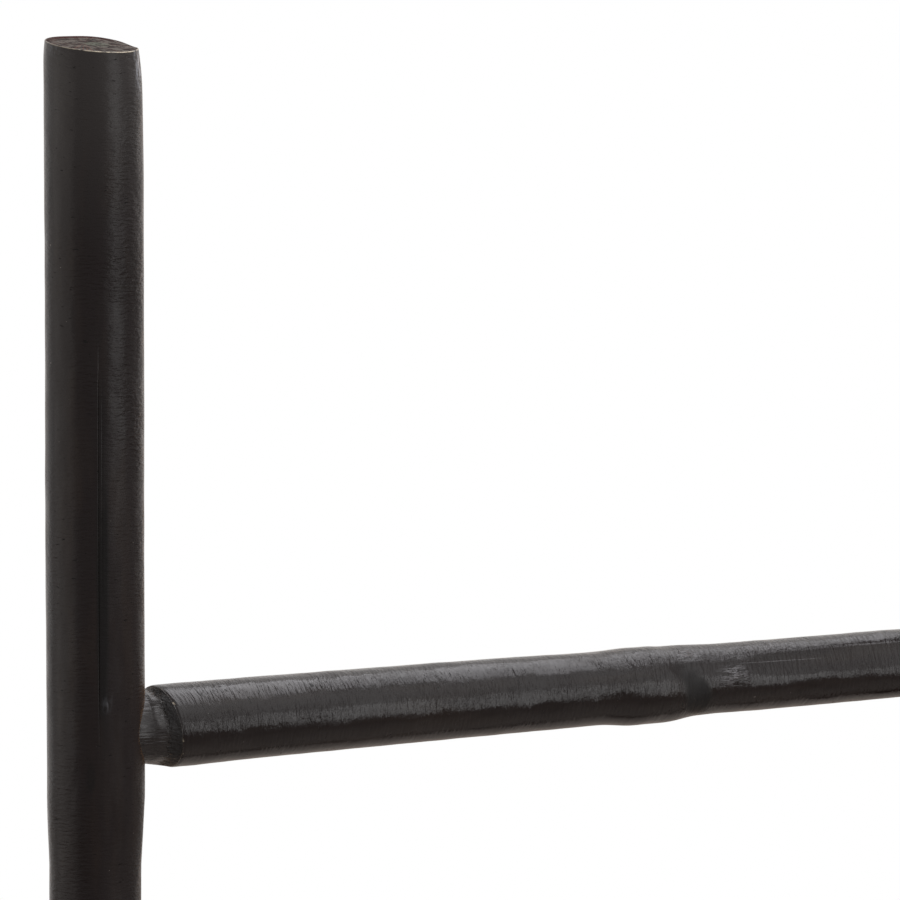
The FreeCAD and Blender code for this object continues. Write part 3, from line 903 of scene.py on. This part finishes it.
def stainedWood(name, look):
    material = bpy.data.materials.new(name)
    material.use_nodes = True
    tree = material.node_tree
    shader = tree.nodes["Principled BSDF"]
    place = newNode(tree, "Attribute", {}, attribute_name="polePlace").outputs["Vector"]
    # the grains with 1 along the pole are those of the sawn ends
    noises = {part: grainNoise(tree, place, grain) for part, grain in grains.items() if grain[0] > 1}
    # fine hairs and nicks lie across the pole, in patches
    patches = above(tree, noises["patches"], *limits["patches"])
    hairy = mark(tree, "hairy")
    hairPatches = calculate(tree, "MULTIPLY_ADD", patches, *hairPatchShares)
    hairs = times(tree, grainNoise(tree, place, look["hairs"]), times(tree, hairPatches, hairy))
    beads = times(tree, noises["beads"], times(tree, patches, hairy))
    nickNoise = calculate(tree, "MULTIPLY_ADD", mark(tree, "nicked"), moreNicks, noises["nicks"])
    nicks = above(tree, nickNoise, look["nicks"], look["nicks"] + nickEdge)
    specks = above(tree, noises["specks"], *limits["specks"])
    # rasp lines run lengthwise on the necks; beside each shoulder the cuts are deeper, and painted shade
    # darkens that band
    rasp = times(tree, noises["rasp"], mark(tree, "neck"))
    bandEdge = calculate(tree, "MULTIPLY_ADD", noises["bandEdge"], bandBreaks, mark(tree, "shoulderCutsAndShade"))
    cutsAndShade = above(tree, bandEdge, *limits["cutsAndShade"])
    hatch = times(tree, noises["hatch"], cutsAndShade)
    wrinkles = times(tree, thinLines(tree, noises["wrinkles"], wrinkleWidth), mark(tree, "wrinkled"))
    # the knot's scar and the rails' dark patches get painted shade
    scarsAndPaintedShade = above(tree, mark(tree, "scarsAndPaintedShade"), *limits["scarsAndPaintedShade"])
    scarsAndPaintedShade = times(tree, scarsAndPaintedShade, above(tree, patches, *limits["scarPatches"]))
    # pale scuffs, and painted highlights on the rails' heads
    scuffedAndHighlit = times(tree, mark(tree, "scuffedAndHighlit"), above(tree, noises["scuffsAndHighlights"], *limits["scuffsAndHighlights"]))
    # bare wood shows where the rims are worn
    bareRim = times(tree, mark(tree, "worn"), above(tree, noises["worn"], *limits["bareRim"]))
    bareRing = times(tree, mark(tree, "ringEdge"), above(tree, noises["worn"], *limits["bareRing"]))
    bare = larger(tree, bareRim, times(tree, bareRing, tinting["bareRing"]))
    sawn = above(tree, mark(tree, "sawn"), *limits["sawn"])
    endColour, mottle = sawnEnds(tree, place)
    # colour: each layer lies over the ones before it, and the stain is thinner towards the saw cuts
    thin = above(tree, noises["thin"], *limits["thin"])
    colour = mixColours(tree, thin, stainColours["stain"], stainColours["thinStain"])
    # dark nicks, and painted shade in the shoulder bands, scars and dark patches
    nicksAndPaintedShade = larger(tree, larger(tree, nicks, times(tree, cutsAndShade, tinting["cutsAndShade"])), scarsAndPaintedShade)
    layers = (
        (times(tree, mark(tree, "neck"), tinting["neck"]), stainColours["neckStain"]),
        (times(tree, mark(tree, "faded"), tinting["faded"]), stainColours["fadedStain"]),
        (nicksAndPaintedShade, stainColours["pitAndPaintedShade"]),
        (times(tree, specks, tinting["specks"]), stainColours["paleSpeck"]),
        (scuffedAndHighlit, stainColours["scuffAndHighlight"]),
        (times(tree, wrinkles, tinting["wrinkles"]), stainColours["paleBark"]),
        (bare, stainColours["bareWood"]),
        (sawn, endColour),
    )
    for share, layer in layers:
        colour = mixColours(tree, share, colour, layer)
    tree.links.new(colour, shader.inputs["Base Color"])
    # gloss
    ends = dict(zip(("From Min", "From Max", "To Min", "To Max"), limits["shine"] + look["roughness"]))
    rough = newNode(tree, "MapRange", {"Value": noises["shine"], **ends}).outputs[0]
    rough = calculate(tree, "ADD", rough, times(tree, nicks, dulling["nicks"]))
    rough = calculate(tree, "MULTIPLY_ADD", mark(tree, "rubbed"), dulling["rubbed"], rough)
    for part, kind in ((sawn, "sawn"), (scarsAndPaintedShade, "scarsAndPaintedShade"), (cutsAndShade, "cutsAndShade"), (bare, "bare")):
        rough = larger(tree, rough, times(tree, part, dulling[kind]))
    tree.links.new(rough, shader.inputs["Roughness"])
    shader.inputs["Specular IOR Level"].default_value = look["gloss"]
    shader.inputs["Sheen Weight"].default_value = look["sheen"]
    shader.inputs["Sheen Roughness"].default_value = sheenRoughness
    shader.inputs["Sheen Tint"].default_value = (*stainColours["sheen"], 1)
    # relief
    relief = 0.0
    for part, size in (
            (noises["swell"], reliefs["swell"]), (hairs, look["hairRelief"]),
            (beads, look["hairRelief"] * reliefs["beadShare"]), (nicks, reliefs["nicks"]),
            (rasp, reliefs["rasp"]), (hatch, reliefs["hatch"]), (wrinkles, reliefs["wrinkles"]),
            (mark(tree, "creased"), reliefs["creased"]), (times(tree, mottle, sawn), reliefs["mottle"])):
        relief = calculate(tree, "MULTIPLY_ADD", part, size, relief)
    bump = newNode(tree, "Bump", {"Height": relief, "Distance": 0.001, "Strength": 1})  # in metres
    tree.links.new(bump.outputs[0], shader.inputs["Normal"])
    return material


def cover(piece, wood, ends):
    # the sawn faces get the wood of the ends
    mesh = piece.data
    mesh.materials.clear()
    mesh.materials.append(wood)
    if "sawn" in mesh.attributes:
        mesh.materials.append(ends)
        sawn = np.zeros(len(mesh.vertices), np.float32)
        mesh.attributes["sawn"].data.foreach_get("value", sawn)
        corners = np.zeros(len(mesh.loops), np.int32)
        mesh.loops.foreach_get("vertex_index", corners)
        starts = np.zeros(len(mesh.polygons), np.int32)
        mesh.polygons.foreach_get("loop_start", starts)
        sawnFaces = np.minimum.reduceat(sawn[corners], starts) > 0.5  # all its corners are sawn
        mesh.polygons.foreach_set("material_index", sawnFaces.astype(np.int32))


woods = {kind: stainedWood(f"{kind} stain", look) for kind, look in stainLooks.items()}
for pieces, kind in ((rails.values(), "rail"), (rungs.values(), "rung"), ([pegs], "peg")):
    for piece in pieces:
        cover(piece, woods[kind], woods["end"])
print("materials made")


# Light, floor and camera

# A lamp is a soft panel: where it stands, what it faces, its width and height, and how bright it looks,
# where 1 is white.
ladderHead = (-0.05, 0, 1.42)
coolWhite = (0.97, 0.96, 1)
lamps = {
    "highPanel": {
        "place": (0.67, -1.42, 2.62), "aim": ladderHead, "size": (1.07, 1.9), "bright": 1.4, "tint": (1, 1, 1)},
    "lowPanel": {
        "place": (0.86, -1.79, 1.42), "aim": ladderHead, "size": (1.07, 1.1), "bright": 3.1, "tint": (1, 1, 1)},
    "topPanel": {
        "place": (0.72, 0.20, 3.1), "aim": ladderHead, "size": (1.8, 1.25), "bright": 4.7, "tint": coolWhite},
    "backPanel": {
        "place": (0.65, 1.4, 2.6), "aim": ladderHead, "size": (1.25, 1.2), "bright": 0.2, "tint": coolWhite},
    "leftPanel": {
        "place": (-2.0, 0.25, 1.4), "aim": (-0.23, 0, 1.4), "size": (2.0, 1.6), "bright": 1.1,
        "tint": (1, 0.93, 0.87)},
}
for name, lamp in lamps.items():
    light = bpy.data.lights.new(name, "AREA")
    light.shape = "RECTANGLE"
    light.size, light.size_y = lamp["size"]
    light.energy = lamp["bright"] * math.pi * light.size * light.size_y
    light.color = lamp["tint"]
    holder = bpy.data.objects.new(name, light)
    holder.location = lamp["place"]
    holder.rotation_euler = (Vector(lamp["aim"]) - Vector(lamp["place"])).to_track_quat("-Z", "Y").to_euler()
    holder.visible_camera = False
    bpy.context.scene.collection.objects.link(holder)

# the surroundings look white, and light the ladder less
surroundings = {"white": (1, 1, 1, 1), "light": 0.45}
studio = bpy.data.worlds.new("studio")
studio.use_nodes = True
bpy.context.scene.world = studio
background = studio.node_tree.nodes["Background"]
background.inputs["Color"].default_value = surroundings["white"]
rays = newNode(studio.node_tree, "LightPath", {}).outputs
seen = larger(studio.node_tree, rays["Is Camera Ray"], rays["Is Glossy Ray"])
seen = larger(studio.node_tree, seen, rays["Is Transmission Ray"])
strength = newNode(studio.node_tree, "MapRange", {"Value": seen, "To Min": surroundings["light"]})
studio.node_tree.links.new(strength.outputs[0], background.inputs["Strength"])

floorLook = {
    "half": 4.5,
    "tones": ((0.61, 0.56, 0.515), (0.67, 0.62, 0.575)),
    "speckle": 40,
    "roughness": 0.8,
}
floorMesh = bpy.data.meshes.new("floor")
floorHalf = floorLook["half"]
corners = [(x * floorHalf, y * floorHalf, 0) for x, y in ((-1, -1), (1, -1), (1, 1), (-1, 1))]
floorMesh.from_pydata(corners, [], [(0, 1, 2, 3)])
floor = bpy.data.objects.new("floor", floorMesh)
bpy.context.scene.collection.objects.link(floor)
paint = bpy.data.materials.new("pale floor")
paint.use_nodes = True
paintShader = paint.node_tree.nodes["Principled BSDF"]
speckle = newNode(paint.node_tree, "TexNoise", {"Scale": floorLook["speckle"]})
tone = mixColours(paint.node_tree, speckle.outputs[0], *floorLook["tones"])
paint.node_tree.links.new(tone, paintShader.inputs["Base Color"])
paintShader.inputs["Roughness"].default_value = floorLook["roughness"]
floorMesh.materials.append(paint)

cameraLook = {
    "focal": 200, "sensor": 36, "place": (-0.9999, -2.0246, 1.8099), "azimuth": -24.925, "down": 7.544}
lens = bpy.data.cameras.new("camera")
lens.lens = cameraLook["focal"]
lens.sensor_width = cameraLook["sensor"]
camera = bpy.data.objects.new("camera", lens)
camera.location = cameraLook["place"]
camera.rotation_euler = (math.radians(90 - cameraLook["down"]), 0, math.radians(cameraLook["azimuth"]))
bpy.context.scene.collection.objects.link(camera)
bpy.context.scene.camera = camera

bpy.context.scene.view_settings.view_transform = "Standard"
print("scene made")
